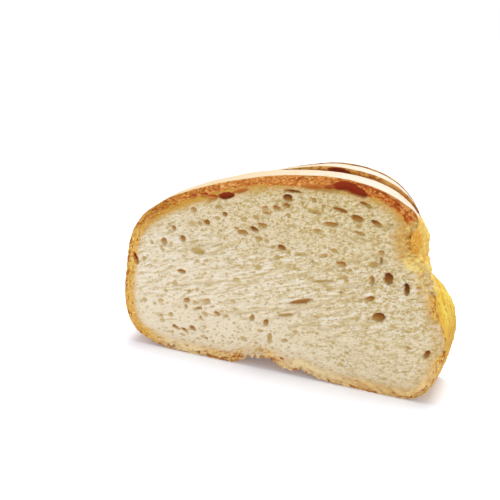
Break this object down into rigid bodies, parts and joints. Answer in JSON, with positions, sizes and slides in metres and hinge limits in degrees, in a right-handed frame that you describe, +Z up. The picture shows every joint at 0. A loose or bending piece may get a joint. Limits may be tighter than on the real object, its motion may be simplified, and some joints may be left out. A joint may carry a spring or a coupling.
{
  "type": "sliced tin loaf",
  "caption": "Upright slices from the middle of a floured white loaf, standing together on their bottom crust, with an open crumb, a domed crown and a torn flank.",
  "frame": {"origin": "on the surface the slices stand on, under the centre of the whole object's box", "axes": "+X across the loaf from its round side to its torn side, +Y along the loaf from the first cut face to the last, +Z up"},
  "size_m": [0.191, 0.0328, 0.1185],
  "materials": {
    "bread": "matte, dry, slightly rough"
  },
  "bodies": {
    "root": {"slice_front": "bread", "slice_middle": "bread", "slice_back": "bread"}
  },
  "joints": []
}
